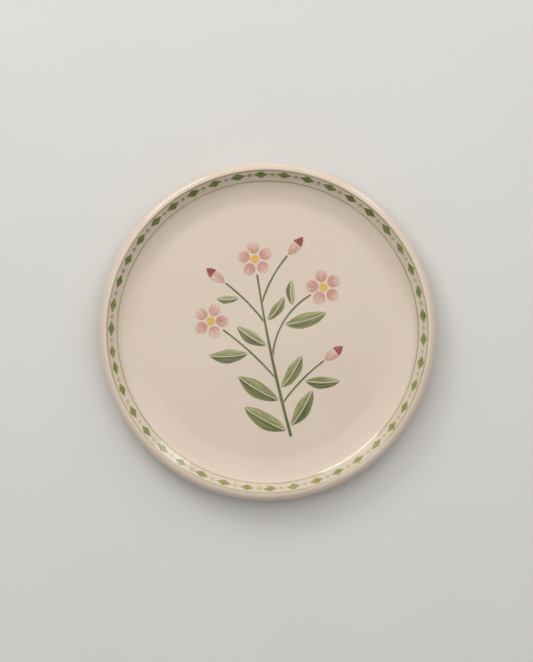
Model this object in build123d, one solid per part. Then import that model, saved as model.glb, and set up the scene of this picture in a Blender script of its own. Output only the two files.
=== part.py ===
from build123d import *
import math
import os

# A glazed dinner plate with a painted border and a painted sprig in the well.
# Millimetres and degrees, +Z up. The origin is the centre of the foot's contact plane.
# The top of the sprig points to +Y.

# Plate, measured over the glaze: the flat floor sweeps up a little, then turns through
# a corner into the sloped wall
plate_diameter = 260.0
well_depth = 11.0
floor_thickness = 4.8
floor_sweep_radius = 60.0
floor_sweep_angle = 15.0
well_corner_radius = 20.0
wall_angle = 40.0
crest_radius = 2.2
lip_roll_radius = 5.2
under_lip_radius = 2.0
outer_wall_angle = 42.0
base_corner_radius = 27.0

# Foot ring, measured over the glaze on its sides: bare clay at the contact edge,
# then a short glazed side, then a fillet into the base
foot_diameter = 168.0
foot_width = 7.0
bare_foot_height = 1.4
glazed_foot_height = 0.9
foot_root_radius = 1.2
foot_edge_radius = 0.7

# Glaze, and the enamel colours: the border's lie on the glaze, and the sprig's are let
# into it flush, so that the floor of the well stays smooth
glaze_thickness = 0.5
paint_thickness = 0.2

# Border, in plan: from the crest of the rim inwards an outer line, a row of lozenges
# with dots between them, and an inner line; at the join two lozenges stand closer
crest_to_outer_line = 0.8
line_width = 0.8
outer_line_gap = 0.5
diamond_height = 4.4
inner_line_gap = 1.55
diamond_length = 11.4
diamond_count = 42
join_gap = 0.8
join_direction = 190.35
dot_radius = 1.25

# Sprig stems: the main stem is an arc through three points, and each branch leaves
# its parent at a share of the parent's length and passes through a bend to its tip
main_stem = ((18.0, -80.0), (3.0, -18.0), (-8.0, 44.0))
branches = {
    "left": ("main", 0.35, (-12.0, -17.0), (-34.0, 1.0)),
    "right": ("main", 0.47, (14.0, 10.0), (33.0, 28.0)),
    "left_bud": ("main", 0.70, (-17.0, 24.0), (-32.0, 37.0)),
    "right_bud": ("main", 0.20, (26.0, -38.0), (43.0, -23.0)),
    "top_bud": ("main", 0.82, (4.0, 42.0), (15.0, 58.0)),
}
stem_foot_width = 2.6
stem_tip_width = 1.4
branch_width = 1.4

# Sprig leaves: stem, share of its length, side of the stem (1 is left) and leaf length
leaf_sites = (
    ("main", 0.02, 1, 37.0),
    ("main", 0.04, -1, 32.0),
    ("main", 0.21, 1, 36.0),
    ("main", 0.28, -1, 29.0),
    ("main", 0.55, 1, 27.0),
    ("main", 0.70, -1, 22.0),
    ("left", 0.50, 1, 30.0),
    ("right", 0.46, -1, 33.0),
    ("right", 0.72, 1, 19.0),
    ("right_bud", 0.50, -1, 27.0),
    ("left_bud", 0.62, 1, 17.0),
)
leaf_spread = 46.0
leaf_slenderness = 2.9
leaf_bow = 1.4
midrib_gap = 0.7
leaf_clearance = 0.9

# Sprig blossoms and buds: the stems that carry one, and their sizes
blossom_stems = ("main", "left", "right")
bud_stems = ("left_bud", "right_bud", "top_bud")
petal_count = 5
petal_reach = 14.0
petal_gap = 1.2
blossom_centre_radius = 3.2
petal_clearance = 0.9
stalk_reach = 2.5
bud_length = 18.0
bud_width = 8.0
bud_tip_start = 11.0
bud_tip_gap = 0.7
bud_clearance = 0.7

# Points of the section closer than this are one point
same_place = 0.001

# Sizes worked out from those above
rim_radius = plate_diameter / 2
crest_place = rim_radius - lip_roll_radius
root_level = bare_foot_height + glazed_foot_height
base_level = root_level + foot_root_radius
floor_level = base_level + floor_thickness
plate_height = floor_level + well_depth
foot_outer = foot_diameter / 2
foot_inner = foot_outer - foot_width
outer_line_radius = crest_place - crest_to_outer_line - line_width / 2
diamond_row_radius = outer_line_radius - line_width / 2 - outer_line_gap - diamond_height / 2
inner_line_radius = diamond_row_radius - diamond_height / 2 - inner_line_gap - line_width / 2


def compass(angle):
    """Unit vector at an angle."""
    return Vector(math.cos(math.radians(angle)), math.sin(math.radians(angle)))


def bulge(x, z, radius, first_facing, last_facing):
    """Convex arc of the section: three points, each with the angle that the surface faces."""
    facings = (first_facing, (first_facing + last_facing) / 2, last_facing)
    return [(Vector(x, z) + compass(facing) * radius, facing) for facing in facings]


def hollow(x, z, radius, first_facing, last_facing):
    """Concave arc of the section, on the far side of its centre."""
    return bulge(x, z, -radius, first_facing, last_facing)


def plain(x, z, facing):
    """End of a straight stretch of the section."""
    return [(Vector(x, z), facing)]


def sunk(point, depth):
    """A point of the section moved below the surface, in the XZ plane."""
    place, facing = point
    below = place - compass(facing) * depth
    return Vector(below.X, 0, below.Y)


def run_edges(run, depth):
    """Edges of a run of arcs and ends, with straight lines between them, below the surface."""
    edges = []
    for number, stop in enumerate(run):
        places = [sunk(point, depth) for point in stop]
        if number and (places[0] - last_place).length > same_place:
            edges.append(Edge.make_line(last_place, places[0]))
        if len(places) == 3:
            edges.append(Edge.make_three_point_arc(*places))
        last_place = places[-1]
    return edges


def turned(edges):
    """Solid of revolution of a closed section."""
    return revolve(make_face(edges), axis=Axis.Z)


def layer(run, upper_depth, lower_depth):
    """Turned solid between two depths under the surface."""
    ends = [
        Edge.make_line(sunk(point, upper_depth), sunk(point, lower_depth))
        for point in (run[0][0], run[-1][-1])
    ]
    return turned(run_edges(run, upper_depth) + run_edges(run, lower_depth) + ends)


def arc_rise(radius, low_slope, high_slope):
    """Height that an arc of the section gains between two slopes."""
    return radius * (math.cos(math.radians(low_slope)) - math.cos(math.radians(high_slope)))


def arc_reach(radius, low_slope, high_slope):
    """Distance outwards that an arc of the section covers between two slopes."""
    return radius * (math.sin(math.radians(high_slope)) - math.sin(math.radians(low_slope)))


# Section of the glazed surface, from the middle of the well round to the middle of the base
sweep_facing = 90 + floor_sweep_angle
wall_facing = 90 + wall_angle
outer_facing = outer_wall_angle - 90
well_arcs = (
    (floor_sweep_radius, 0, floor_sweep_angle),
    (well_corner_radius, floor_sweep_angle, wall_angle),
    (crest_radius, 0, wall_angle),
)
wall_rise = well_depth - sum(arc_rise(*arc) for arc in well_arcs)
wall_run = wall_rise / math.tan(math.radians(wall_angle))
floor_radius = crest_place - wall_run - sum(arc_reach(*arc) for arc in well_arcs)
sweep_level = floor_level + floor_sweep_radius
corner_shift = compass(sweep_facing) * (well_corner_radius - floor_sweep_radius)
corner_centre = Vector(floor_radius, sweep_level) + corner_shift

lip_level = plate_height - lip_roll_radius
under_lip_place = rim_radius - under_lip_radius
under_lip_end = Vector(under_lip_place, lip_level) + compass(outer_facing) * under_lip_radius
base_corner_level = base_level + base_corner_radius
outer_wall_drop = under_lip_end.Y - base_corner_level - base_corner_radius * compass(outer_facing).Y
outer_wall_run = outer_wall_drop / math.tan(math.radians(outer_wall_angle))
base_corner_place = under_lip_end.X - outer_wall_run - base_corner_radius * compass(outer_facing).X

edge_skin_radius = foot_edge_radius + glaze_thickness

well_run = [
    plain(0, floor_level, 90),
    hollow(floor_radius, sweep_level, floor_sweep_radius, 90, sweep_facing),
    hollow(corner_centre.X, corner_centre.Y, well_corner_radius, sweep_facing, wall_facing),
    bulge(crest_place, plate_height - crest_radius, crest_radius, wall_facing, 90),
]
outside_run = [
    bulge(crest_place, lip_level, lip_roll_radius, 90, 0),
    bulge(under_lip_place, lip_level, under_lip_radius, 0, outer_facing),
    bulge(base_corner_place, base_corner_level, base_corner_radius, outer_facing, -90),
    hollow(foot_outer + foot_root_radius, root_level, foot_root_radius, -90, 0),
    plain(foot_outer, bare_foot_height, 0),
]
foot_run = [
    bulge(foot_outer - edge_skin_radius, foot_edge_radius, edge_skin_radius, 0, -90),
    bulge(foot_inner + edge_skin_radius, foot_edge_radius, edge_skin_radius, -90, -180),
]
base_run = [
    plain(foot_inner, bare_foot_height, 180),
    hollow(foot_inner - foot_root_radius, root_level, foot_root_radius, 180, 270),
    plain(0, base_level, 270),
]

# Clay body and the two glaze coats on it
clay_run = well_run + outside_run + foot_run + base_run
clay_axis = Edge.make_line(sunk(base_run[-1][0], glaze_thickness), sunk(well_run[0][0], glaze_thickness))
clay_body = turned(run_edges(clay_run, glaze_thickness) + [clay_axis])
glaze_coat = layer(well_run + outside_run, 0, glaze_thickness)
base_glaze = layer(base_run, 0, glaze_thickness)

# Layers over the whole well, from which the border's and the sprig's shapes are cut
raised_enamel = layer(well_run, -paint_thickness, 0)
flush_enamel = layer(well_run, 0, paint_thickness)


def ring(radius):
    """Plan of a painted line round the plate."""
    return Circle(radius + line_width / 2) - Circle(radius - line_width / 2)


def on_wall(plan):
    """Enamel on the wall of the well, over a plan."""
    return extrude(plan, amount=plate_height + paint_thickness) & raised_enamel


def in_floor(plan):
    """Enamel let into the floor of the well, over a plan."""
    return extrude(plan, amount=plate_height) & flush_enamel


def round_rim(shape, first, step, count):
    """Copies of a shape on the +X side of the rim, turned to evenly spaced directions."""
    return [Rot(0, 0, first + number * step) * shape for number in range(count)]


def aside_of(along):
    """The direction to the left of another."""
    return Vector(-along.Y, along.X)


def aside_angle(along):
    """Turn that lays the X axis across a direction."""
    return math.degrees(math.atan2(along.Y, along.X)) - 90


def stroke(spine, start_width, end_width):
    """Plan of a brush stroke along an arc, with round ends."""
    sides = {1: [], -1: []}
    for share in (0, 0.5, 1):
        half = (start_width + (end_width - start_width) * share) / 2
        for side, places in sides.items():
            places.append(spine @ share + aside_of(spine % share) * half * side)
    foot_cap = spine @ 0 - spine % 0 * (start_width / 2)
    tip_cap = spine @ 1 + spine % 1 * (end_width / 2)
    return make_face([
        ThreePointArc(*sides[1]),
        ThreePointArc(sides[1][-1], tip_cap, sides[-1][-1]),
        ThreePointArc(*reversed(sides[-1])),
        ThreePointArc(sides[-1][0], foot_cap, sides[1][0]),
    ])


def half_leaf(foot, along, length, half, bow):
    """Plan of one half of a leaf, between the midrib and the edge on that side."""
    aside = aside_of(along)
    middle = foot + along * (length / 2) + aside * bow
    shift = aside * (half * midrib_gap / 2)
    edge = middle + aside * (half * length / leaf_slenderness / 2)
    tip = foot + along * length
    return make_face([
        ThreePointArc(foot + shift, middle + shift, tip + shift),
        ThreePointArc(tip + shift, edge, foot + shift),
    ])


def lens(foot, along, length, width):
    """Plan of a pointed oval."""
    middle = foot + along * (length / 2)
    aside = aside_of(along) * (width / 2)
    tip = foot + along * length
    return make_face([ThreePointArc(foot, middle + aside, tip), ThreePointArc(tip, middle - aside, foot)])


# Border: lozenges with a dot in each gap, except at the join, where two lozenges stand closer
join_angle = math.degrees((diamond_length + join_gap) / diamond_row_radius)
diamond_pitch = (360 - join_angle) / (diamond_count - 1)
first_diamond = join_direction + join_angle / 2
first_dot = first_diamond + diamond_pitch / 2
lozenge = Polygon(
    (diamond_height / 2, 0),
    (0, diamond_length / 2),
    (-diamond_height / 2, 0),
    (0, -diamond_length / 2),
    align=None,
)
one_diamond = on_wall(Pos(diamond_row_radius, 0) * lozenge)
one_dot = on_wall(Pos(diamond_row_radius, 0) * Circle(dot_radius))

# Plans of the sprig's stems
spines = {"main": ThreePointArc(*main_stem)}
tip_widths = {"main": stem_tip_width}
stem_plan = stroke(spines["main"], stem_foot_width, stem_tip_width)
for name, (parent, share, bend, tip) in branches.items():
    spines[name] = ThreePointArc(spines[parent] @ share, bend, tip)
    tip_widths[name] = branch_width
    stem_plan += stroke(spines[name], branch_width, branch_width)

# Plans of the leaves: the half nearer the stem's tip is light
light_plans = []
dark_plans = []
for name, share, side, length in leaf_sites:
    spine = spines[name]
    along = (spine % share).rotate(Axis.Z, side * leaf_spread)
    clear = (stem_foot_width / 2 + leaf_clearance) / math.sin(math.radians(leaf_spread))
    foot = spine @ share + along * clear
    light_plans.append(half_leaf(foot, along, length, -side, side * leaf_bow))
    dark_plans.append(half_leaf(foot, along, length, side, side * leaf_bow))

# Plans of the blossoms: oval petals, as wide as the gap between neighbours lets them be,
# with one of the gaps towards the stem
petal_plans = []
centre_plans = []
petal_step = 360 / petal_count
half_step = math.radians(petal_step / 2)
petal_foot = blossom_centre_radius + petal_clearance
petal_middle = (petal_foot + petal_reach) / 2
petal_half_length = (petal_reach - petal_foot) / 2
gap_line_distance = petal_middle * math.sin(half_step) - petal_gap / 2
petal_lean = petal_half_length * math.sin(half_step)
petal_half_width = math.sqrt(gap_line_distance**2 - petal_lean**2) / math.cos(half_step)
for name in blossom_stems:
    ahead = spines[name] % 1
    centre = spines[name] @ 1 + ahead * (tip_widths[name] / 2 + petal_reach - stalk_reach)
    centre_plans.append(Pos(centre.X, centre.Y) * Circle(blossom_centre_radius))
    for number in range(petal_count):
        along = ahead.rotate(Axis.Z, number * petal_step)
        place = Location(centre + along * petal_middle, (0, 0, aside_angle(along)))
        petal_plans.append(place * Ellipse(petal_half_width, petal_half_length))

# Plans of the buds: a pointed oval, parted from its dark tip
bud_plans = []
bud_tip_plans = []
for name in bud_stems:
    ahead = spines[name] % 1
    foot = spines[name] @ 1 + ahead * (tip_widths[name] / 2 + bud_clearance)
    parting = Location(foot + ahead * (bud_tip_start - bud_tip_gap / 2), (0, 0, aside_angle(ahead)))
    halves = lens(foot, ahead, bud_length, bud_width) - parting * Rectangle(bud_width, bud_tip_gap)
    bud, tip = halves.faces().sort_by_distance(foot)
    bud_plans.append(bud)
    bud_tip_plans.append(tip)

# Sprig, and the pockets for it in the glaze
sprig = {
    "sprig_stems": [in_floor(stem_plan)],
    "leaf_light_halves": [in_floor(plan) for plan in light_plans],
    "leaf_dark_halves": [in_floor(plan) for plan in dark_plans],
    "blossom_petals": [in_floor(plan) for plan in petal_plans],
    "blossom_centres": [in_floor(plan) for plan in centre_plans],
    "bud_petals": [in_floor(plan) for plan in bud_plans],
    "bud_tips": [in_floor(plan) for plan in bud_tip_plans],
}
glaze_coat -= [shape for shapes in sprig.values() for shape in shapes]

nodes = {
    "clay_body": [clay_body],
    "glaze_coat": [glaze_coat],
    "base_glaze": [base_glaze],
    "outer_border_line": [on_wall(ring(outer_line_radius))],
    "inner_border_line": [on_wall(ring(inner_line_radius))],
    "border_diamonds": round_rim(one_diamond, first_diamond, diamond_pitch, diamond_count),
    "border_dots": round_rim(one_dot, first_dot, diamond_pitch, diamond_count - 1),
    **sprig,
}
os.makedirs("parts", exist_ok=True)
for name, shapes in nodes.items():
    solids = [solid for shape in shapes for solid in shape.solids()]
    export_step(Compound(children=solids), f"parts/{name}.step")
    print(name, len(solids), "solids")
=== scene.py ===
import bpy
import math
import numpy as np
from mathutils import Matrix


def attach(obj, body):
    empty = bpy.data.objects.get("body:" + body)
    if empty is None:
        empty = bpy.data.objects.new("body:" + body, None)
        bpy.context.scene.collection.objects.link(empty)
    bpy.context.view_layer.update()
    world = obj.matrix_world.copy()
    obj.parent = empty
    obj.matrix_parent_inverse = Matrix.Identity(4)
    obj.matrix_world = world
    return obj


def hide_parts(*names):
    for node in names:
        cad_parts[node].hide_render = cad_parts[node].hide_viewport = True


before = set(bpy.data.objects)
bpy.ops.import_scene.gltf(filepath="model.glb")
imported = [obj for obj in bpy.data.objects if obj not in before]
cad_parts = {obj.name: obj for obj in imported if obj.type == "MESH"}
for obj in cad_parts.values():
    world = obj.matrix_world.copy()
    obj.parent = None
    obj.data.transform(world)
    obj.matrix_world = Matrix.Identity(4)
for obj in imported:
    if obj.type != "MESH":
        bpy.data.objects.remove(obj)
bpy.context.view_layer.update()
print("frame loaded,", len(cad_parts), "nodes")

# Metres and degrees, the same frame as the solids. The sprig's top points to +Y.
plate = {
    "rimRadius": 0.130,
    "wellDepth": 0.011,
    "floorThickness": 0.0048,
    "sweepRadius": 0.060,
    "sweepAngle": 15.0,
    "wellCorner": 0.020,
    "wallAngle": 40.0,
    "crest": 0.0022,
    "lipRoll": 0.0052,
    "underLip": 0.002,
    "outerWallAngle": 42.0,
    "baseCorner": 0.027,
    "footRadius": 0.084,
    "footWidth": 0.007,
    "bareFoot": 0.0014,
    "glazedFoot": 0.0009,
    "footRoot": 0.0012,
    "footEdge": 0.0007,
    "glaze": 0.0005,
    "shrink": (0.005, 0.0001),    # share lost in firing along X and along Y
    "rimSag": 0.00025,        # deepest dip of the rim
    "rimWaves": ((2, 0.3, 0.6), (3, 0.2, 2.1)),   # waves round the rim, share of the dip, start in radians
    "rowSpacing": 0.003,      # between rows on straight and gently curved stretches
    "arcStep": 5.0,           # degrees between rows on tight arcs
    "segments": 336,
    "touching": 1e-6,         # ends nearer than this meet
    "axisGuard": 1e-9,        # least radius that a direction is taken from
}
rimRadius = plate["rimRadius"]
crestPlace = rimRadius - plate["lipRoll"]
rootLevel = plate["bareFoot"] + plate["glazedFoot"]
baseLevel = rootLevel + plate["footRoot"]
floorLevel = baseLevel + plate["floorThickness"]
rimLevel = floorLevel + plate["wellDepth"]
sweepTurn, wallTurn = math.radians(plate["sweepAngle"]), math.radians(plate["wallAngle"])
sweepSin, sweepCos = math.sin(sweepTurn), math.cos(sweepTurn)
wallSin, wallCos = math.sin(wallTurn), math.cos(wallTurn)
sweepRise = plate["sweepRadius"] * (1 - sweepCos)
cornerRise = plate["wellCorner"] * (sweepCos - wallCos)
crestRise = plate["crest"] * (1 - wallCos)
wallRun = (plate["wellDepth"] - sweepRise - cornerRise - crestRise) * wallCos / wallSin
coneEnd = crestPlace - plate["crest"] * wallSin
coneStart = coneEnd - wallRun
sweepEnd = coneStart - plate["wellCorner"] * (wallSin - sweepSin)
floorRadius = sweepEnd - plate["sweepRadius"] * sweepSin


# slow uneven firing: x and y lose their shares, and z dips in waves round the rim, by the square of the
# share of the way from foot to rim
def fired(points):
    x, y, z = points[..., 0], points[..., 1], points[..., 2]
    angle = np.arctan2(y, x)
    pastFoot = (np.hypot(x, y) - plate["footRadius"]) / (rimRadius - plate["footRadius"])
    outward = np.clip(pastFoot, 0, 1) ** 2
    dip = sum((share * np.sin(waves * angle + start) for waves, share, start in plate["rimWaves"]), 0.5)
    narrow, short = (1 - share for share in plate["shrink"])
    return np.stack((x * narrow, y * short, z - plate["rimSag"] * outward * dip), axis=-1)


# rows of r, z and the outward direction: a point on the arc is the centre plus radius times the direction
def arcRun(r, z, radius, first, last):
    turn = abs(last - first)
    count = max(turn / plate["arcStep"], abs(radius) * math.radians(turn) / plate["rowSpacing"])
    facing = np.radians(np.linspace(first, last, int(count) + 2))
    outward = np.stack((np.cos(facing), np.sin(facing)), 1)
    return np.hstack(((r, z) + radius * outward, outward))


# one row: the end of a straight stretch
def stop(r, z, facing):
    return arcRun(r, z, 0.0, facing, facing)[:1]


# arcs and stops in order, with evenly spaced rows on the straight line from each to the next
def joined(runs):
    rows = [runs[0]]
    for run in runs[1:]:
        start, end = rows[-1][-1], run[0]
        gap = math.dist(start[:2], end[:2])
        share = np.linspace(0, 1, int(gap / plate["rowSpacing"]) + 2)[1:-1, None]
        rows.append(start + (end - start) * share)
        rows.append(run if gap > plate["touching"] else run[1:])
    return np.vstack([part for part in rows if len(part)])


# r and z of a run moved below the surface by a depth
def sunk(run, depth):
    return run[:, :2] - run[:, 2:] * depth


# mesh from points and faces of four or three corners, with attributes on the points
def buildMesh(name, points, quads, triangles, smooth, attributes):
    mesh = bpy.data.meshes.new(name)
    corners = np.concatenate((quads.ravel(), triangles.ravel())).astype(np.int32)
    sizes = np.concatenate((np.full(len(quads), 4), np.full(len(triangles), 3)))
    mesh.vertices.add(len(points))
    mesh.vertices.foreach_set("co", points.astype(np.float32).ravel())
    mesh.loops.add(len(corners))
    mesh.loops.foreach_set("vertex_index", corners)
    mesh.polygons.add(len(sizes))
    mesh.polygons.foreach_set("loop_start", (np.cumsum(sizes) - sizes).astype(np.int32))
    mesh.update(calc_edges=True)
    mesh.polygons.foreach_set("use_smooth", smooth)
    for key, values in attributes.items():
        kind, field = ("FLOAT_VECTOR", "vector") if values.ndim == 2 else ("FLOAT", "value")
        mesh.attributes.new(key, kind, "POINT").data.foreach_set(field, values.astype(np.float32).ravel())
    mesh.validate()
    return mesh


# a finished piece: rides on the plate, stands for its node, whose solid it hides, and takes its own material
def addPiece(name, mesh, material, node):
    piece = bpy.data.objects.new(name, mesh)
    bpy.context.scene.collection.objects.link(piece)
    mesh.materials.append(material)
    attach(piece, "root")
    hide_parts(node)
    print(name, len(mesh.polygons), "faces")


# profile of r and z turned once round Z: its two ends lie on the axis and become single points
def turned(name, profile):
    ring = profile[1:-1]
    angle = np.arange(plate["segments"]) * (2 * math.pi / plate["segments"])
    r, z = ring[:, 0, None], ring[:, 1, None]
    sides = np.stack((r * np.cos(angle), r * np.sin(angle), np.broadcast_to(z, (len(ring), len(angle)))), -1)
    poles = np.array([[0, 0, profile[0, 1]], [0, 0, profile[-1, 1]]])
    points = fired(np.concatenate((sides.reshape(-1, 3), poles)))
    ids = np.arange(sides.shape[0] * sides.shape[1]).reshape(sides.shape[:2])
    after = np.roll(ids, -1, axis=1)
    quads = np.stack((ids[:-1], ids[1:], after[1:], after[:-1]), -1).reshape(-1, 4)
    firstFan = np.stack((np.full(len(angle), len(points) - 2), ids[0], after[0]), -1)
    lastFan = np.stack((np.full(len(angle), len(points) - 1), after[-1], ids[-1]), -1)
    fans = np.concatenate((firstFan, lastFan))
    return buildMesh(name, points, quads, fans, np.ones(len(quads) + len(fans), bool), {})


# height of the well at a radius and the sine of its slope: flat floor, wide sweep, corner, straight wall
# and round crest, where the sine grows evenly with the radius along each arc
def wellSection(r):
    inSweep = np.clip((r - floorRadius) / plate["sweepRadius"], 0, sweepSin)
    inCorner = np.clip(sweepSin + (r - sweepEnd) / plate["wellCorner"], sweepSin, wallSin)
    inCrest = np.clip((crestPlace - r) / plate["crest"], 0, wallSin)
    rise = plate["sweepRadius"] * (1 - np.sqrt(1 - inSweep**2))
    rise += plate["wellCorner"] * (sweepCos - np.sqrt(1 - inCorner**2))
    rise += (np.clip(r, coneStart, coneEnd) - coneStart) * wallSin / wallCos
    rise += plate["crest"] * (np.sqrt(1 - inCrest**2) - wallCos)
    slope = np.where(r < sweepEnd, inSweep, np.where(r < coneEnd, inCorner, inCrest))
    return floorLevel + rise, slope


# points on the well over a plan of x and y, lifted along the surface's own direction
def onWell(plan, lift):
    x, y = plan[..., 0], plan[..., 1]
    r = np.maximum(np.hypot(x, y), plate["axisGuard"])
    z, slope = wellSection(r)
    inward = slope * lift / r
    return fired(np.stack((x - x * inward, y - y * inward, z + np.sqrt(1 - slope**2) * lift), -1))


enamel = {
    "lift": 0.00003,          # top of the colour above the glaze
    "sink": 0.0001,           # underside below the glaze's surface
    "spread": 0.00025,        # colour fades from this far inside a shape's outline to as far outside
    "ownSpan": 9.0,           # strokes have numbers of their own up to this, so that no two streak alike
    "streakStretch": (1.5, 4.0, 31.0),    # of the streaks along, across and between strokes
    "streakRange": (0.33, 0.67),
    "toneShare": 0.3,         # what the tone of a stroke adds to its thinness
    "washRange": (0.2, 1.3),  # pigment is whole below the first thinness and all wash above the second
    "raggedScale": 900.0,
    "ragged": 0.5,            # how far the soft edge strays, as a share of its width
}
spread = enamel["spread"]


# patches of enamel: each is a grid of plan points, closed below and round its edge;
# room is the distance in from a patch's edge, and the edge attribute is its share of the fade
def enamelMesh(name, plan, room, brush, tone, fade=spread, layers=0.0):
    along, across = plan[:, 1:, :-1] - plan[:, :-1, :-1], plan[:, :-1, 1:] - plan[:, :-1, :-1]
    area = (along[..., 0] * across[..., 1] - along[..., 1] * across[..., 0]).sum((1, 2))
    mirrored = (area < 0)[:, None, None]
    edge = np.broadcast_to(np.clip(room / (2 * fade), 0, 1), plan.shape[:3])
    plan = np.where(mirrored[..., None], plan[:, :, ::-1], plan)
    brush = np.where(mirrored[..., None], brush[:, :, ::-1], brush)
    edge = np.where(mirrored, edge[:, :, ::-1], edge)
    count, rows, cols = edge.shape
    lift = enamel["lift"] + np.asarray(layers, float).reshape(-1, 1, 1)
    top = onWell(plan, lift).reshape(count, -1, 3)
    low = onWell(plan, -enamel["sink"]).reshape(count, -1, 3)
    ids = np.arange(rows * cols).reshape(rows, cols)
    topQuads = np.stack((ids[:-1, :-1], ids[1:, :-1], ids[1:, 1:], ids[:-1, 1:]), -1).reshape(-1, 4)
    rim = np.concatenate((ids[:-1, 0], ids[-1, :-1], ids[:0:-1, -1], ids[0, :0:-1]))
    after = np.roll(rim, -1)
    sides = np.stack((rim, rim + rows * cols, after + rows * cols, after), -1)
    faces = np.concatenate((topQuads, topQuads[:, ::-1] + rows * cols, sides))
    starts = np.arange(count)[:, None, None] * (2 * rows * cols)
    quads = (faces[None] + starts).reshape(-1, 4)
    smooth = np.tile(np.arange(len(faces)) < len(topQuads), count)
    attributes = {
        "edge": np.stack((edge.reshape(count, -1), np.zeros((count, rows * cols))), 1).ravel(),
        "tone": np.repeat(tone, 2 * rows * cols),
        "brush": np.tile(brush.reshape(count, 1, -1, 3), (1, 2, 1, 1)).reshape(-1, 3),
    }
    points = np.stack((top, low), 1).reshape(-1, 3)
    return buildMesh(name, points, quads, np.zeros((0, 3), int), smooth, attributes)


# brush coordinates of each patch: along the stroke, across it, and a number of its own
def brushGrid(along, across, count, rng):
    own = rng.uniform(0, enamel["ownSpan"], count)[:, None, None]
    return np.stack(np.broadcast_arrays(along[None], across[None], own), -1)


# node helpers for the materials
def addNode(tree, kind, values=None, **settings):
    made = tree.nodes.new(kind)
    for key, value in settings.items():
        setattr(made, key, value)
    for key, value in (values or {}).items():
        made.inputs[key].default_value = value
    return made


def feed(tree, socket, value):
    if isinstance(value, bpy.types.NodeSocket):
        tree.links.new(value, socket)
    else:
        socket.default_value = value


# a mix node's sockets 6, 7 and 2 are the ones for colours
def mixNode(tree, factor, first, second, blend="MIX"):
    made = addNode(tree, "ShaderNodeMix", data_type="RGBA", blend_type=blend)
    feed(tree, made.inputs[0], factor)
    feed(tree, made.inputs[6], first)
    feed(tree, made.inputs[7], second)
    return made.outputs[2]


def mathNode(tree, operation, *values):
    made = addNode(tree, "ShaderNodeMath", operation=operation)
    for socket, value in zip(made.inputs, values):
        feed(tree, socket, value)
    return made.outputs[0]


# a smooth step from one range of values to another
def rangeNode(tree, value, given, wanted=(0.0, 1.0)):
    made = addNode(tree, "ShaderNodeMapRange", interpolation_type="SMOOTHSTEP")
    for key, part in zip(("From Min", "From Max", "To Min", "To Max"), (*given, *wanted)):
        made.inputs[key].default_value = part
    tree.links.new(value, made.inputs["Value"])
    return made.outputs["Result"]


def noiseNode(tree, vector, scale, detail=2.0, roughness=0.5):
    made = addNode(tree, "ShaderNodeTexNoise", {"Scale": scale, "Detail": detail, "Roughness": roughness})
    tree.links.new(vector, made.inputs["Vector"])
    return made.outputs[0]


def newGroup(name, inputs, outputs):
    tree = bpy.data.node_groups.new(name, "ShaderNodeTree")
    for label, kind in inputs.items():
        tree.interface.new_socket(label, in_out="INPUT", socket_type="NodeSocket" + kind)
    for label, kind in outputs.items():
        tree.interface.new_socket(label, in_out="OUTPUT", socket_type="NodeSocket" + kind)
    return tree, addNode(tree, "NodeGroupInput").outputs, addNode(tree, "NodeGroupOutput").inputs


# noise scales count waves in a metre
glazeLook = {
    "cream": (0.692, 0.574, 0.472, 1),
    "cloud": (0.672, 0.556, 0.457, 1),
    "speck": (0.30, 0.20, 0.12, 1),
    "cloudScale": 22.0,
    "cloudRange": (0.35, 0.7),
    "mottleScale": 240.0,
    "mottleRange": (0.3, 0.7),
    "mottleShade": (0.991, 1.007),
    "speckScale": 150.0,
    "speckChance": (0.86, 0.9),   # only cells whose own number passes this have a speck
    "speckSize": (0.03, 0.075),   # a speck is full up to the first distance and gone at the second
    "speckStrength": 0.5,
    "roughness": (0.04, 0.08),
    "rippleScale": 38.0,
    "pebbleScale": 190.0,
    "pebbleHeight": 0.04,     # as a share of the ripple's height
    "bump": 0.10,
    "bumpDepth": 0.0012,
    "ior": 1.5,
}


# cream glaze: broad clouds, finer mottling, a few iron specks, and a faint ripple
def makeGlazeTone():
    inputs = {"Cream": "Color", "Cloud": "Color", "Speck": "Color"}
    outputs = {"Color": "Color", "Roughness": "Float", "Height": "Float"}
    tree, given, out = newGroup("glazeTone", inputs, outputs)
    place = addNode(tree, "ShaderNodeTexCoord").outputs["Object"]
    clouds = noiseNode(tree, place, glazeLook["cloudScale"], detail=3.0)
    clouded = rangeNode(tree, clouds, glazeLook["cloudRange"])
    mottling = noiseNode(tree, place, glazeLook["mottleScale"], detail=3.0)
    tinted = mixNode(tree, clouded, given["Cream"], given["Cloud"])
    grain = rangeNode(tree, mottling, glazeLook["mottleRange"], glazeLook["mottleShade"])
    shade = addNode(tree, "ShaderNodeCombineColor")
    for socket in shade.inputs[:3]:
        tree.links.new(grain, socket)
    mottled = mixNode(tree, 1.0, tinted, shade.outputs[0], "MULTIPLY")
    cells = addNode(tree, "ShaderNodeTexVoronoi", {"Scale": glazeLook["speckScale"]})
    tree.links.new(place, cells.inputs["Vector"])
    chosen = addNode(tree, "ShaderNodeSeparateColor")
    tree.links.new(cells.outputs["Color"], chosen.inputs[0])
    few = rangeNode(tree, chosen.outputs[0], glazeLook["speckChance"])
    near = rangeNode(tree, cells.outputs["Distance"], glazeLook["speckSize"], (1.0, 0.0))
    specks = mathNode(tree, "MULTIPLY", mathNode(tree, "MULTIPLY", few, near), glazeLook["speckStrength"])
    tree.links.new(mixNode(tree, specks, mottled, given["Speck"]), out["Color"])
    dullness = rangeNode(tree, mottling, glazeLook["mottleRange"], glazeLook["roughness"])
    tree.links.new(dullness, out["Roughness"])
    ripple = noiseNode(tree, place, glazeLook["rippleScale"], detail=1.0)
    pebbles = noiseNode(tree, place, glazeLook["pebbleScale"], detail=1.0)
    height = mathNode(tree, "MULTIPLY_ADD", pebbles, glazeLook["pebbleHeight"], ripple)
    tree.links.new(height, out["Height"])
    return tree


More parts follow.
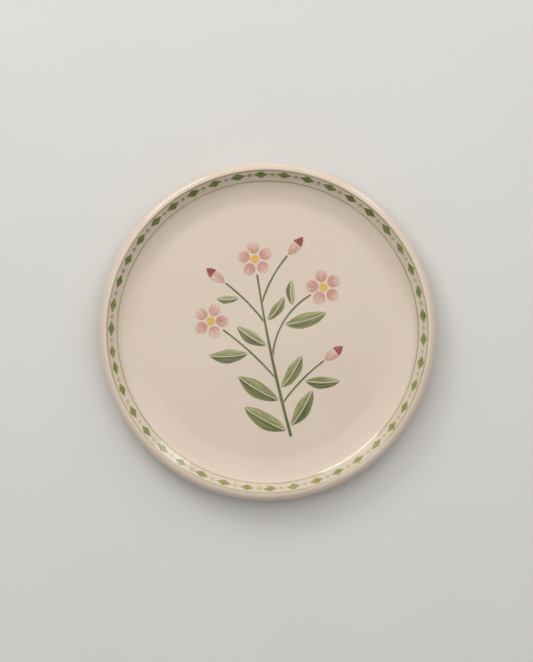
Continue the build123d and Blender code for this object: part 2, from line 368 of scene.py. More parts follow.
# enamel over the glaze: pigment thins to a wash in streaks along the stroke, towards its end and to one
# side, and is soft at its edge
def makeBrushWash():
    colours = {"Glaze": "Color", "Pigment": "Color", "Wash": "Color"}
    amounts = {"Streaks": "Float", "Fade": "Float", "Side": "Float"}
    tree, given, out = newGroup("brushWash", colours | amounts, {"Color": "Color"})
    edge = addNode(tree, "ShaderNodeAttribute", attribute_name="edge").outputs["Fac"]
    tone = addNode(tree, "ShaderNodeAttribute", attribute_name="tone").outputs["Fac"]
    brush = addNode(tree, "ShaderNodeAttribute", attribute_name="brush").outputs["Vector"]
    parts = addNode(tree, "ShaderNodeSeparateXYZ")
    tree.links.new(brush, parts.inputs[0])
    stretched = addNode(tree, "ShaderNodeVectorMath", operation="MULTIPLY")
    tree.links.new(brush, stretched.inputs[0])
    stretched.inputs[1].default_value = enamel["streakStretch"]
    bristles = noiseNode(tree, stretched.outputs[0], 1.0, detail=3.0, roughness=0.65)
    streak = rangeNode(tree, bristles, enamel["streakRange"])
    drying = mathNode(tree, "MULTIPLY", parts.outputs[0], given["Fade"])
    loaded = mathNode(tree, "MULTIPLY_ADD", parts.outputs[1], given["Side"], drying)
    streaked = mathNode(tree, "MULTIPLY_ADD", streak, given["Streaks"], loaded)
    # the tone attribute adds each stroke's own tone, and on the border marks also their painted light
    toned = mathNode(tree, "MULTIPLY_ADD", tone, enamel["toneShare"], streaked)
    thinned = rangeNode(tree, toned, enamel["washRange"])
    washed = mixNode(tree, thinned, given["Pigment"], given["Wash"])
    place = addNode(tree, "ShaderNodeTexCoord").outputs["Object"]
    unevenness = noiseNode(tree, place, enamel["raggedScale"])
    ragged = mathNode(tree, "MULTIPLY_ADD", unevenness, enamel["ragged"], -enamel["ragged"] / 2)
    cover = rangeNode(tree, mathNode(tree, "ADD", edge, ragged), (0.0, 1.0))
    tree.links.new(mixNode(tree, cover, given["Glaze"], washed), out["Color"])
    return tree


glazeTone = makeGlazeTone()
brushWash = makeBrushWash()


# a material with the glaze's tone, its ripple on the normal and its roughness already in place
def glazedMaterial(name):
    material = bpy.data.materials.new(name)
    material.use_nodes = True
    tree = material.node_tree
    shader = tree.nodes["Principled BSDF"]
    shader.inputs["IOR"].default_value = glazeLook["ior"]
    tone = addNode(tree, "ShaderNodeGroup", node_tree=glazeTone)
    tone.inputs["Cream"].default_value = glazeLook["cream"]
    tone.inputs["Cloud"].default_value = glazeLook["cloud"]
    tone.inputs["Speck"].default_value = glazeLook["speck"]
    relief = {"Strength": glazeLook["bump"], "Distance": glazeLook["bumpDepth"]}
    bump = addNode(tree, "ShaderNodeBump", relief)
    tree.links.new(tone.outputs["Height"], bump.inputs["Height"])
    tree.links.new(bump.outputs["Normal"], shader.inputs["Normal"])
    tree.links.new(tone.outputs["Roughness"], shader.inputs["Roughness"])
    tree.links.new(tone.outputs["Color"], shader.inputs["Base Color"])
    return material, tree, shader, tone


# enamel from a paint: pigment, wash, and how far it thins in streaks, along the stroke and across it
def enamelMaterial(name, pigment, wash, streaks=0.5, fade=0.0, toSide=0.0):
    material, tree, shader, tone = glazedMaterial(name)
    colour = addNode(tree, "ShaderNodeGroup", node_tree=brushWash)
    colour.inputs["Pigment"].default_value = (*pigment, 1)
    colour.inputs["Wash"].default_value = (*wash, 1)
    colour.inputs["Streaks"].default_value = streaks
    colour.inputs["Fade"].default_value = fade
    colour.inputs["Side"].default_value = toSide
    tree.links.new(tone.outputs["Color"], colour.inputs["Glaze"])
    tree.links.new(colour.outputs["Color"], shader.inputs["Base Color"])
    return material


print("shared glaze and enamel groups made")

# Glaze over the well, lip and outside: its skin, a bead where it stops above the bare foot, its underside
sweepFacing = 90 + plate["sweepAngle"]
wallFacing = 90 + plate["wallAngle"]
outerFacing = plate["outerWallAngle"] - 90
outerTurn = math.radians(plate["outerWallAngle"])
lipLevel = rimLevel - plate["lipRoll"]
underLipPlace = rimRadius - plate["underLip"]
underLipEnd = arcRun(underLipPlace, lipLevel, plate["underLip"], 0, outerFacing)[-1]
baseCornerLevel = baseLevel + plate["baseCorner"]
outerDrop = underLipEnd[1] - baseCornerLevel + plate["baseCorner"] * math.cos(outerTurn)
outerRun = outerDrop / math.tan(outerTurn)
baseCornerPlace = underLipEnd[0] - outerRun - plate["baseCorner"] * math.sin(outerTurn)
sweepLevel = floorLevel + plate["sweepRadius"]
tighter = plate["sweepRadius"] - plate["wellCorner"]
cornerPlace, cornerLevel = floorRadius + tighter * sweepSin, sweepLevel - tighter * sweepCos
footOuter = plate["footRadius"]
footInner = footOuter - plate["footWidth"]
root = plate["footRoot"]
topRuns = [
    stop(0, floorLevel, 90),
    arcRun(floorRadius, sweepLevel, -plate["sweepRadius"], 90, sweepFacing),
    arcRun(cornerPlace, cornerLevel, -plate["wellCorner"], sweepFacing, wallFacing),
    arcRun(crestPlace, rimLevel - plate["crest"], plate["crest"], wallFacing, 90),
    arcRun(crestPlace, lipLevel, plate["lipRoll"], 90, 0),
    arcRun(underLipPlace, lipLevel, plate["underLip"], 0, outerFacing),
    arcRun(baseCornerPlace, baseCornerLevel, plate["baseCorner"], outerFacing, -90),
    arcRun(footOuter + root, rootLevel, -root, -90, 0),
    stop(footOuter, plate["bareFoot"], 0),
]
baseRuns = [
    stop(footInner, plate["bareFoot"], 180),
    arcRun(footInner - root, rootLevel, -root, 180, 270),
    stop(0, baseLevel, 270),
]
edgeRadius = plate["footEdge"] + plate["glaze"]
footRuns = [
    arcRun(footOuter - edgeRadius, plate["footEdge"], edgeRadius, 0, -90),
    arcRun(footInner + edgeRadius, plate["footEdge"], edgeRadius, -90, -180),
]
coatRun = joined(topRuns)
bead = arcRun(footOuter - plate["glaze"] / 2, plate["bareFoot"], plate["glaze"] / 2, 0, -180)[1:-1, :2]
coatProfile = np.vstack((coatRun[:, :2], bead, sunk(coatRun, plate["glaze"])[::-1]))
coatMaterial = glazedMaterial("creamGlaze")[0]
addPiece("glazeCoat", turned("glazeCoat", coatProfile), coatMaterial, "glaze_coat")

# Glaze inside the foot ring, made the same way
baseRun = joined(baseRuns)
baseBead = arcRun(footInner + plate["glaze"] / 2, plate["bareFoot"], plate["glaze"] / 2, 0, -180)[1:-1, :2]
baseProfile = np.vstack((sunk(baseRun, plate["glaze"])[::-1], baseBead, baseRun[:, :2]))
addPiece("baseGlaze", turned("baseGlaze", baseProfile), coatMaterial, "base_glaze")

# Clay body under the glaze, bare at the foot
clay = {
    "colour": (0.60, 0.47, 0.35, 1),
    "dark": (0.44, 0.32, 0.22, 1),
    "roughness": 0.85,
    "gritScale": 1400.0,
    "patchScale": 60.0,
    "share": 0.6,             # what grit and patches each add to the dark tint
    "tintRange": (0.4, 0.8),
    "bump": 0.5,
    "bumpDepth": 0.0002,
}


# bare clay: fine grit and broad patches add up to the dark tint, and the grit is felt in the relief
def clayMaterial():
    material = bpy.data.materials.new("bareClay")
    material.use_nodes = True
    tree = material.node_tree
    shader = tree.nodes["Principled BSDF"]
    shader.inputs["Roughness"].default_value = clay["roughness"]
    place = addNode(tree, "ShaderNodeTexCoord").outputs["Object"]
    grit = noiseNode(tree, place, clay["gritScale"], detail=4.0, roughness=0.65)
    patches = noiseNode(tree, place, clay["patchScale"], detail=3.0)
    patchTint = mathNode(tree, "MULTIPLY", patches, clay["share"])
    bothTints = mathNode(tree, "MULTIPLY_ADD", grit, clay["share"], patchTint)
    tint = rangeNode(tree, bothTints, clay["tintRange"])
    tree.links.new(mixNode(tree, tint, clay["colour"], clay["dark"]), shader.inputs["Base Color"])
    bump = addNode(tree, "ShaderNodeBump", {"Strength": clay["bump"], "Distance": clay["bumpDepth"]})
    tree.links.new(grit, bump.inputs["Height"])
    tree.links.new(bump.outputs["Normal"], shader.inputs["Normal"])
    return material


clayProfile = sunk(joined(topRuns + footRuns + baseRuns), plate["glaze"])
addPiece("clayBody", turned("clayBody", clayProfile), clayMaterial(), "clay_body")

# Border lines: a strip round the well whose radius and width waver as a brush on a turning plate does
border = {
    "outerLine": 0.1236,
    "innerLine": 0.11635,
    "offCentre": {"outer_border_line": (-0.0001, 0.0), "inner_border_line": (0.00015, -0.00045)},
    "lineWidth": 0.0008,
    "waver": 0.00008,
    "driftWaves": ((3, 0.6), (11, 0.4)),      # waves round the line and their shares of the waver
    "widthWaves": ((5, 0.15), (17, 0.1)),     # waves round the line and their shares of its width
    "lineColumns": 7,
    "lineSegments": 720,
    "linePace": 3.0,          # brush travel for each radian
    "rowRadius": 0.1205,
    "diamondLength": 0.0114,
    "diamondHeight": 0.0044,
    "diamonds": 42,
    "joinGap": 0.0008,
    "joinDirection": 190.35,
    "dotRadius": 0.00125,
    "dotSpread": 0.0004,      # used here in place of the enamel's spread
    "dotStretch": (1.25, 0.85),   # along and across the row
    "dotUneven": {"turn": 0.15, "size": 0.08, "tone": 0.8},
    "dotGrid": 9,
    "diamondSpread": 0.00018, # likewise
    # size of the strokes as a share of the marked lozenge, and its change round the rim
    "diamondSwell": (1.03, 0.06),
    "diamondUneven": {"turn": 0.12, "length": 0.03, "height": 0.04, "lean": 0.03, "tone": 0.6},
    "diamondGrid": 15,
    # painted light: how far the marks pale towards their wash on the lower side of the rim, where the wall
    # faces the lights and takes their glare, and where round the rim they are palest
    "litSidePaleness": {"lines": (1.3, 252.0), "diamonds": (2.2, 292.0), "dots": (3.6, 288.0)},
    # paints: pigment, wash, and the thinning in streaks, along a stroke and across it
    "linePaint": ((0.30, 0.28, 0.085), (0.46, 0.41, 0.22), 1.2),
    "diamondPaint": ((0.115, 0.15, 0.027), (0.33, 0.335, 0.125), 0.6, 0.3),
    "dotPaint": ((0.20, 0.205, 0.085), (0.51, 0.455, 0.275), 0.6, 0.3),
    "seed": 11,
}
rng = np.random.default_rng(border["seed"])


# painted light at an angle in radians: how far a mark pales towards its wash, a cosine about the direction
# on the lit side of the rim where it is palest
def litSidePaling(angle, marks):
    most, direction = border["litSidePaleness"][marks]
    return most * (0.5 + 0.5 * np.cos(angle - math.radians(direction)))


# a ring whose radius drifts and whose half width swells by sine waves, closed below by two more columns
def borderLine(name, radius, node, material):
    angle = np.arange(border["lineSegments"]) * (2 * math.pi / border["lineSegments"])
    waves = border["driftWaves"] + border["widthWaves"]
    starts = rng.uniform(0, 2 * math.pi, len(waves))
    sines = [share * np.sin(count * angle + start) for (count, share), start in zip(waves, starts)]
    drift = sum(sines[:len(border["driftWaves"])])
    swell = sum(sines[len(border["driftWaves"]):], 1)
    half = border["lineWidth"] / 2 * swell[:, None] + spread
    columns = border["lineColumns"]
    across = np.concatenate((np.linspace(-1, 1, columns), (1, -1)))
    column = np.arange(len(across))
    onTop = column < columns
    r = radius + border["waver"] * drift[:, None] + half * across
    x, y = r * np.cos(angle)[:, None], r * np.sin(angle)[:, None]
    plan = np.stack((x, y), -1) + border["offCentre"][node]
    points = onWell(plan, np.where(onTop, enamel["lift"], -enamel["sink"]))
    ids = np.arange(r.size).reshape(r.shape)
    after, beside = np.roll(ids, -1, 0), np.roll(ids, -1, 1)
    quads = np.stack((ids, beside, np.roll(after, -1, 1), after), -1).reshape(-1, 4)
    smooth = np.tile(column < columns - 1, len(angle))
    edge = np.clip(np.where(onTop, 1 - np.abs(across), 0) * half / (2 * spread), 0, 1)
    brush = np.stack(np.broadcast_arrays(angle[:, None] * border["linePace"], across, 0 * r), -1)
    # the lines' tone is only their painted light, paler on the lit lower side of the rim
    tone = np.repeat(litSidePaling(angle, "lines"), len(across))
    attributes = {"edge": edge.ravel(), "tone": tone, "brush": brush.reshape(-1, 3)}
    mesh = buildMesh(name, points.reshape(-1, 3), quads, np.zeros((0, 3), int), smooth, attributes)
    addPiece(name, mesh, material, node)


lineMaterial = enamelMaterial("oliveLine", *border["linePaint"])
borderLine("outerBorderLine", border["outerLine"], "outer_border_line", lineMaterial)
borderLine("innerBorderLine", border["innerLine"], "inner_border_line", lineMaterial)

# Lozenges and dots: a unit grid of s and t laid on each lozenge's two edge directions, or bent to a disc
joinAngle = math.degrees((border["diamondLength"] + border["joinGap"]) / border["rowRadius"])
pitch = (360 - joinAngle) / (border["diamonds"] - 1)
firstDiamond = border["joinDirection"] + joinAngle / 2


# plan points about places on the border row: tangential and radial offsets turned to each direction
def roundRow(direction, tangential, radial):
    angle = np.radians(direction)[:, None, None]
    r = border["rowRadius"] + radial
    x = r * np.cos(angle) - tangential * np.sin(angle)
    y = r * np.sin(angle) + tangential * np.cos(angle)
    return np.stack((x, y), -1)


# square grid of u and v from -1 to 1 bent to the unit disc: u shrinks with v squared and v with u squared
def discGrid(count):
    v, u = np.meshgrid(np.linspace(-1, 1, count), np.linspace(-1, 1, count))
    return u * np.sqrt(1 - v**2 / 2), v * np.sqrt(1 - u**2 / 2)


# lozenges: s - t runs along each and s + t - 1 across it, and both diagonals are widened by the soft edge
def borderDiamonds():
    count = border["diamonds"]
    uneven = border["diamondUneven"]
    direction = firstDiamond + np.arange(count) * pitch + rng.normal(0, uneven["turn"], count)
    steps = np.linspace(0, 1, border["diamondGrid"])
    t, s = np.meshgrid(steps, steps)
    long, high = s - t, s + t - 1
    usual, change = border["diamondSwell"]
    swell = usual + change * np.sin(np.radians(direction))
    length = border["diamondLength"] * (swell + rng.normal(0, uneven["length"], count))[:, None, None]
    height = border["diamondHeight"] * (swell + rng.normal(0, uneven["height"], count))[:, None, None]
    diagonal = np.hypot(length, height)
    soft = border["diamondSpread"]
    wider, taller = 2 * soft * diagonal / height, 2 * soft * diagonal / length
    length, height = length + wider, height + taller
    lean = rng.normal(0, uneven["lean"], count)[:, None, None]
    tangential = long * length / 2
    radial = high * height / 2 + lean * tangential
    inside = np.minimum(np.minimum(s, 1 - s), np.minimum(t, 1 - t))
    room = inside * length * height / np.hypot(length, height)
    brush = brushGrid(np.abs(long), high, count, rng)
    plan = roundRow(direction, tangential, radial)
    # tone: painted light, paler on the lit lower side of the rim, plus each lozenge's own random tone
    tone = litSidePaling(np.radians(direction), "diamonds") + rng.uniform(0, uneven["tone"], count)
    return enamelMesh("borderDiamonds", plan, room, brush, tone, soft)


# dots: unit discs stretched to ovals, half a pitch on from each lozenge but the last
def borderDots():
    count = border["diamonds"] - 1
    uneven = border["dotUneven"]
    direction = firstDiamond + (np.arange(count) + 0.5) * pitch + rng.normal(0, uneven["turn"], count)
    u, v = discGrid(border["dotGrid"])
    share = 1 + rng.normal(0, uneven["size"], count)
    size = border["dotRadius"] * share[:, None, None] + border["dotSpread"]
    long, high = border["dotStretch"]
    plan = roundRow(direction, u * size * long, v * size * high)
    room = (1 - np.hypot(u, v)) * size
    brush = brushGrid(1 - np.hypot(u, v), v, count, rng)
    # tone: painted light, paler on the lit lower side of the rim, plus each dot's own random tone
    tone = litSidePaling(np.radians(direction), "dots") + rng.uniform(0, uneven["tone"], count)
    return enamelMesh("borderDots", plan, room, brush, tone, border["dotSpread"])


diamondMaterial = enamelMaterial("diamondGreen", *border["diamondPaint"])
dotMaterial = enamelMaterial("dotOlive", *border["dotPaint"])
addPiece("borderDiamonds", borderDiamonds(), diamondMaterial, "border_diamonds")
addPiece("borderDots", borderDots(), dotMaterial, "border_dots")

# Sprig: stems are arcs through a start, a bend and a tip
sprig = {
    "mainStem": ((0.018, -0.080), (0.003, -0.018), (-0.008, 0.044)),
    "branches": {
        "left": (0.35, (-0.012, -0.017), (-0.034, 0.001)),
        "right": (0.47, (0.014, 0.010), (0.033, 0.028)),
        "leftBud": (0.70, (-0.017, 0.024), (-0.032, 0.037)),
        "rightBud": (0.20, (0.026, -0.038), (0.043, -0.023)),
        "topBud": (0.82, (0.004, 0.042), (0.015, 0.058)),
    },
    "stemFoot": 0.0026,
    "stemTip": 0.0014,
    "branchWidth": 0.0014,
    "layer": 0.000002,        # each stroke lies this much higher than the next
    "wobble": 0.06,           # unsteadiness of a stroke's half width, as a share of it
    "wobblePace": 9.0,        # radians of wobble along a stroke
    "wobbleStart": 6.0,       # a wobble starts anywhere up to this many radians
    "capEnd": 0.0004,         # square of the share of the half width that is left at a cap's end
    "brushLoads": 4,          # times that the streaks change along a stem
    "lengthSteps": 200,       # chords that a stem's length is summed over
    "stemGrid": (97, 9),
    "paint": ((0.068, 0.094, 0.017), (0.24, 0.245, 0.08), 0.9, 0.0, 0.2),
    "seed": 23,
}
rng = np.random.default_rng(sprig["seed"])


# place and direction, as complex numbers, at a share of the arc through three points
def arcAt(ends, share):
    a, b, c = (complex(*end) for end in ends)
    w = (c - a) / (b - a)
    centre = a + (b - a) * (w - abs(w) ** 2) / (2j * w.imag)
    sweep = np.angle((b - centre) / (a - centre)) + np.angle((c - centre) / (b - centre))
    spot = centre + (a - centre) * np.exp(1j * sweep * np.asarray(share, float))
    ahead = (spot - centre) / abs(a - centre) * 1j * np.sign(sweep)
    return spot, ahead


# complex numbers as plan points: the real part is x and the imaginary part y
def toPlan(spots):
    return np.stack((spots.real, spots.imag), -1)


# grid of u from 0 to 1 along a stroke, and v from one edge to the other
def strokeGrid(counts, firstEdge):
    along, across = counts
    return np.meshgrid(np.linspace(0, 1, along), np.linspace(firstEdge, 1, across), indexing="ij")


stems = {"main": sprig["mainStem"]}
widths = {"main": (sprig["stemFoot"], sprig["stemTip"])}
for stemName, (share, bend, tip) in sprig["branches"].items():
    start = arcAt(stems["main"], share)[0]
    stems[stemName] = ((start.real, start.imag), bend, tip)
    widths[stemName] = (sprig["branchWidth"], sprig["branchWidth"])


# a stroke: across its arc by a half width that tapers from foot to tip, with round caps beyond both ends
def sprigStems():
    u, v = strokeGrid(sprig["stemGrid"], -1)
    plans, rooms = [], []
    for name, ends in stems.items():
        foot, tip = (width / 2 + spread for width in widths[name])
        length = abs(np.diff(arcAt(ends, np.linspace(0, 1, sprig["lengthSteps"]))[0])).sum()
        travelled = u * (length + foot + tip) - foot
        share = np.clip(travelled / length, 0, 1)
        beyond = travelled - share * length
        spot, ahead = arcAt(ends, share)
        start = rng.uniform(0, sprig["wobbleStart"])
        unsteady = 1 + sprig["wobble"] * np.sin(sprig["wobblePace"] * share + start)
        capped = 1 - (beyond / np.where(beyond < 0, foot, tip)) ** 2
        half = (foot + (tip - foot) * share) * unsteady * np.sqrt(np.maximum(capped, sprig["capEnd"]))
        plans.append(toPlan(spot + ahead * (beyond + 1j * half * v)))
        rooms.append((1 - np.abs(v)) * half)
    count = len(plans)
    brush = brushGrid(u * sprig["brushLoads"], v, count, rng)
    layers = np.arange(count)[::-1] * sprig["layer"]
    plans, rooms = np.array(plans), np.array(rooms)
    return enamelMesh("sprigStems", plans, rooms, brush, np.zeros(count), spread, layers)


stemMaterial = enamelMaterial("stemGreen", *sprig["paint"])
addPiece("sprigStems", sprigStems(), stemMaterial, "sprig_stems")

# Leaves: stem, share of its length, side of the stem and leaf length
leaves = {
    "sites": (
        ("main", 0.02, 1, 0.037),
        ("main", 0.04, -1, 0.032),
        ("main", 0.21, 1, 0.036),
        ("main", 0.28, -1, 0.029),
        ("main", 0.55, 1, 0.027),
        ("main", 0.70, -1, 0.022),
        ("left", 0.50, 1, 0.030),
        ("right", 0.46, -1, 0.033),
        ("right", 0.72, 1, 0.019),
        ("rightBud", 0.50, -1, 0.027),
        ("leftBud", 0.62, 1, 0.017),
    ),
    "turn": 46.0,
    "slenderness": 2.9,
    "bow": 0.0014,
    "midribGap": 0.0007,
    "clearance": 0.0009,
    "wobble": 0.0003,         # unsteadiness of the outer edge
    "grid": (57, 15),
    "lightPaint": ((0.125, 0.15, 0.03), (0.43, 0.40, 0.19), 0.7, 0.2, 0.35),
    "darkPaint": ((0.046, 0.068, 0.01), (0.20, 0.212, 0.062), 0.7, 0.2, 0.35),
}


# rise of an arc over its chord at a share u: the circle through both ends and the middle's sagitta
def arcRise(u, length, sag):
    radius = (length**2 / 4 + sag**2) / (2 * np.abs(sag))
    return np.sign(sag) * (np.sqrt(radius**2 - (length * (u - 0.5)) ** 2) - radius + np.abs(sag))


# half a leaf: u runs from foot to tip and v from the midrib's arc out to the edge's arc
def leafHalves(name, half):
    u, v = strokeGrid(leaves["grid"], 0)
    turn = math.radians(leaves["turn"])
    spots = [arcAt(stems[stem], share) for stem, share, side, length in leaves["sites"]]
    spot, ahead = (np.array(part)[:, None, None] for part in zip(*spots))
    side, length = (np.array(part)[:, None, None] for part in list(zip(*leaves["sites"]))[2:])
    along = ahead * np.exp(1j * side * turn)
    foot = spot + along * (sprig["stemFoot"] / 2 + leaves["clearance"]) / math.sin(turn)
    toward = half * side
    width = length / leaves["slenderness"]
    shift = toward * leaves["midribGap"] / 2
    travelled = u * (length + 2 * spread) - spread
    share = np.clip(travelled / length, 0, 1)
    inner = shift + arcRise(share, length, side * leaves["bow"]) - toward * spread
    outer = arcRise(share, length, side * leaves["bow"] + toward * (width - leaves["midribGap"]) / 2)
    starts = rng.uniform(0, sprig["wobbleStart"], side.shape)
    unsteady = leaves["wobble"] * np.sin(math.pi * share) * np.sin(sprig["wobblePace"] * share + starts)
    outer = outer + shift + toward * (spread + unsteady)
    plan = foot + along * (travelled + 1j * (inner + (outer - inner) * v))
    room = np.minimum(v, 1 - v) * np.abs(outer - inner)
    room = np.minimum(room, np.minimum(u, 1 - u) * (length + 2 * spread))
    count = len(leaves["sites"])
    brush = brushGrid(u, v, count, rng)
    return enamelMesh(name, toPlan(plan), room, brush, rng.uniform(0, 1, count))


lightMaterial = enamelMaterial("leafLight", *leaves["lightPaint"])
darkMaterial = enamelMaterial("leafDark", *leaves["darkPaint"])
addPiece("leafLightHalves", leafHalves("leafLightHalves", -1), lightMaterial, "leaf_light_halves")
addPiece("leafDarkHalves", leafHalves("leafDarkHalves", 1), darkMaterial, "leaf_dark_halves")

# Blossoms: oval petals round a yellow centre, at the tips of three stems
blossoms = {
    "stems": ("main", "left", "right"),
    "petals": 5,
    "reach": 0.014,
    "gap": 0.0012,
    "centreRadius": 0.0032,
    "clearance": 0.0009,
    "stalkReach": 0.0025,
    "notch": 0.10,            # dent in a petal's outer end, as a share of its half length
    "notchWidth": 0.28,       # as a share of the half width
    "uneven": 0.06,           # the most that a petal falls short of its size
    "petalGrid": 19,
    "centreGrid": 13,
    "petalPaint": ((0.68, 0.495, 0.40), (0.51, 0.22, 0.155), 0.5, 0.8),
    "centrePaint": ((0.70, 0.43, 0.06), (0.55, 0.28, 0.025), 0.8, 0.0, 0.2),
}


# centre of each blossom, a reach past its stem's round tip, and the stem's direction there
def blossomPlaces():
    tips = [arcAt(stems[stem], 1.0) for stem in blossoms["stems"]]
    spot, ahead = (np.array(part) for part in zip(*tips))
    width = np.array([widths[stem][1] for stem in blossoms["stems"]])
    return spot + ahead * (width / 2 + blossoms["reach"] - blossoms["stalkReach"]), ahead


# petals: discs stretched to ovals, as wide as the gap between neighbours allows, dented at the outer end
def blossomPetals():
    u, v = discGrid(blossoms["petalGrid"])
    centre, ahead = blossomPlaces()
    turn = np.exp(2j * math.pi * np.arange(blossoms["petals"]) / blossoms["petals"])
    centre = np.repeat(centre, blossoms["petals"])[:, None, None]
    along = (ahead[:, None] * turn).ravel()[:, None, None]
    halfStep = math.pi / blossoms["petals"]
    foot = blossoms["centreRadius"] + blossoms["clearance"]
    middle, halfLength = (foot + blossoms["reach"]) / 2, (blossoms["reach"] - foot) / 2
    halfGap = middle * math.sin(halfStep) - blossoms["gap"] / 2
    halfWidth = math.sqrt(halfGap**2 - (halfLength * math.sin(halfStep)) ** 2) / math.cos(halfStep)
    dent = blossoms["notch"] * np.clip(v, 0, 1) ** 2 * np.exp(-((u / blossoms["notchWidth"]) ** 2))
    count = len(along)
    size = 1 - rng.uniform(0, blossoms["uneven"], count)[:, None, None]
    tall, wide = halfLength * size + spread, halfWidth * size + spread
    plan = centre + along * (middle + tall * (v - dent) + 1j * wide * u)
    room = (1 - np.hypot(u, v)) * wide
    brush = brushGrid((1 - v) / 2, u, count, rng)
    return enamelMesh("blossomPetals", toPlan(plan), room, brush, rng.uniform(0, 1, count))


# unit discs scaled to the centre's radius
def blossomCentres():
    u, v = discGrid(blossoms["centreGrid"])
    radius = blossoms["centreRadius"] + spread
    plan = blossomPlaces()[0][:, None, None] + radius * (u + 1j * v)
    room = (1 - np.hypot(u, v)) * radius
    count = len(plan)
    return enamelMesh("blossomCentres", toPlan(plan), room, brushGrid(u, v, count, rng), np.zeros(count))


petalMaterial = enamelMaterial("petalPink", *blossoms["petalPaint"])
centreMaterial = enamelMaterial("centreYellow", *blossoms["centrePaint"])
addPiece("blossomPetals", blossomPetals(), petalMaterial, "blossom_petals")
addPiece("blossomCentres", blossomCentres(), centreMaterial, "blossom_centres")

# Buds: a pointed oval whose half width is an arc's rise, parted from its dark tip
buds = {
    "stems": ("leftBud", "rightBud", "topBud"),
    "length": 0.018,
    "width": 0.008,
    "tipStart": 0.011,
    "tipGap": 0.0007,
    "clearance": 0.0007,
    "grid": (29, 15),
    "paint": ((0.50, 0.265, 0.19), (0.69, 0.52, 0.415), 0.7, 0.4, 0.2),
    "tipPaint": ((0.25, 0.025, 0.018), (0.47, 0.12, 0.085), 0.8, 0.2, 0.3),
}


# the stretch of a bud between two distances from its foot
def budPart(name, first, last):
    u, v = strokeGrid(buds["grid"], -1)
    tips = [arcAt(stems[stem], 1.0) for stem in buds["stems"]]
    spot, ahead = (np.array(part)[:, None, None] for part in zip(*tips))
    foot = spot + ahead * (sprig["branchWidth"] / 2 + buds["clearance"])
    whole = last - first + 2 * spread
    travelled = first - spread + u * whole
    half = arcRise(np.clip(travelled / buds["length"], 0, 1), buds["length"], buds["width"] / 2) + spread
    plan = foot + ahead * (travelled + 1j * v * half)
    room = np.minimum((1 - np.abs(v)) * half, np.minimum(u, 1 - u) * whole)
    count = len(plan)
    return enamelMesh(name, toPlan(plan), room, brushGrid(u, v, count, rng), np.zeros(count))


budMaterial = enamelMaterial("budPink", *buds["paint"])
tipMaterial = enamelMaterial("tipRed", *buds["tipPaint"])
budPetals = budPart("budPetals", 0.0, buds["tipStart"] - buds["tipGap"])
budTips = budPart("budTips", buds["tipStart"], buds["length"])
addPiece("budPetals", budPetals, budMaterial, "bud_petals")
addPiece("budTips", budTips, tipMaterial, "bud_tips")
print("plate and enamel pieces made")

# Pale floor under the foot
studio = {
    "floorSize": 6.0,
    "floorColour": (0.70, 0.69, 0.665, 1),
    "floorShade": 0.985,      # of the clouds in the colour
    "floorRoughness": 0.9,
    "cloudScale": 9.0,
    "cloudRange": (0.3, 0.7),
    "worldStrength": 0.31,
    "worldColour": (1.0, 0.99, 0.98, 1),
    # name, azimuth, elevation, distance, width and height, watts
    "lights": (
        ("broadUpper", 92.0, 59.0, 1.8, (3.6, 2.76), 23.0),
        ("broadLower", 97.0, 56.3, 1.8, (3.6, 2.54), 13.3),
        ("upperLeft", 124.4, 31.0, 1.8, (0.71, 0.48), 7.3),
        ("upperRight", 52.5, 19.0, 1.8, (0.38, 0.66), 3.25),
    ),
    "lightColour": (1.0, 0.99, 0.975),
}


# matt floor with faint darker clouds
def paleFloor():
    material = bpy.data.materials.new("paleFloor")
    material.use_nodes = True
    tree = material.node_tree
    shader = tree.nodes["Principled BSDF"]
    shader.inputs["Roughness"].default_value = studio["floorRoughness"]
    place = addNode(tree, "ShaderNodeTexCoord").outputs["Object"]
    clouds = noiseNode(tree, place, studio["cloudScale"], detail=4.0)
    cloud = rangeNode(tree, clouds, studio["cloudRange"])
    colour = studio["floorColour"]
    darker = (*(part * studio["floorShade"] for part in colour[:3]), 1)
    tree.links.new(mixNode(tree, cloud, colour, darker), shader.inputs["Base Color"])
    return material


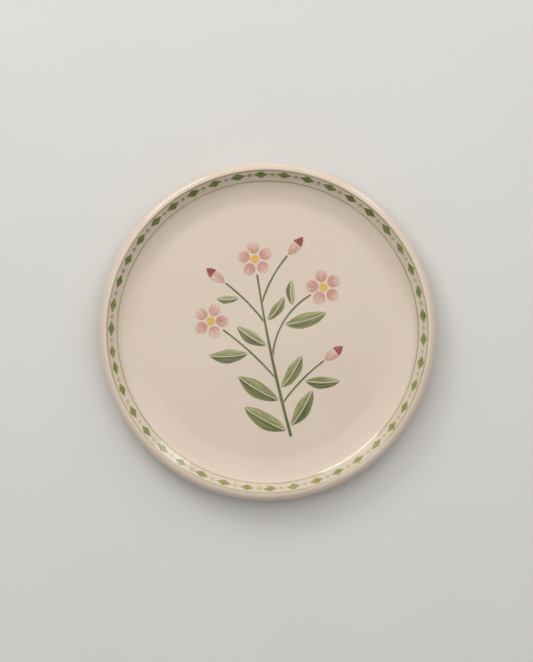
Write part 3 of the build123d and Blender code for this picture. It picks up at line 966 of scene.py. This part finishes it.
side = studio["floorSize"] / 2
floorPoints = np.array([[-side, -side, 0], [side, -side, 0], [side, side, 0], [-side, side, 0]])
floorQuads, noTriangles = np.array([[0, 1, 2, 3]]), np.zeros((0, 3), int)
floorMesh = buildMesh("floor", floorPoints, floorQuads, noTriangles, np.zeros(1, bool), {})
floorMesh.materials.append(paleFloor())
floor = bpy.data.objects.new("floor", floorMesh)
bpy.context.scene.collection.objects.link(floor)

world = bpy.data.worlds.new("studio")
bpy.context.scene.world = world
world.use_nodes = True
world.node_tree.nodes["Background"].inputs["Color"].default_value = studio["worldColour"]
world.node_tree.nodes["Background"].inputs["Strength"].default_value = studio["worldStrength"]

# lights on half spheres round the plate, each turned to its middle
for lightName, azimuth, elevation, distance, (wide, tall), watts in studio["lights"]:
    lamp = bpy.data.lights.new(lightName, "AREA")
    lamp.shape = "RECTANGLE"
    lamp.size = wide
    lamp.size_y = tall
    lamp.energy = watts
    lamp.color = studio["lightColour"]
    light = bpy.data.objects.new(lightName, lamp)
    bpy.context.scene.collection.objects.link(light)
    turn, rise = math.radians(azimuth), math.radians(elevation)
    light.location = (
        distance * math.cos(rise) * math.cos(turn),
        distance * math.cos(rise) * math.sin(turn),
        distance * math.sin(rise),
    )
    light.rotation_euler = (math.pi / 2 - rise, 0, turn + math.pi / 2)

# Camera straight above, placed so that the rim fills the photograph's circle
view = {
    "frame": (533, 662),      # pixels, as are the rim's centre and radius
    "rimCentre": (267.49, 331.53),
    "rimRadius": 169.3,
    "height": 1.5,
    "sensor": 36.0,           # millimetres
}
overhead = view["height"] - lipLevel
pixelSize = rimRadius / view["rimRadius"]
camera = bpy.data.cameras.new("overhead")
camera.sensor_width = view["sensor"]
camera.lens = view["sensor"] * overhead / (view["frame"][1] * pixelSize)
cameraObject = bpy.data.objects.new("overhead", camera)
bpy.context.scene.collection.objects.link(cameraObject)
cameraObject.location = (
    (view["frame"][0] / 2 - view["rimCentre"][0]) * pixelSize,
    (view["rimCentre"][1] - view["frame"][1] / 2) * pixelSize,
    view["height"],
)
bpy.context.scene.camera = cameraObject
bpy.context.scene.view_settings.view_transform = "Standard"
print("studio and camera made")
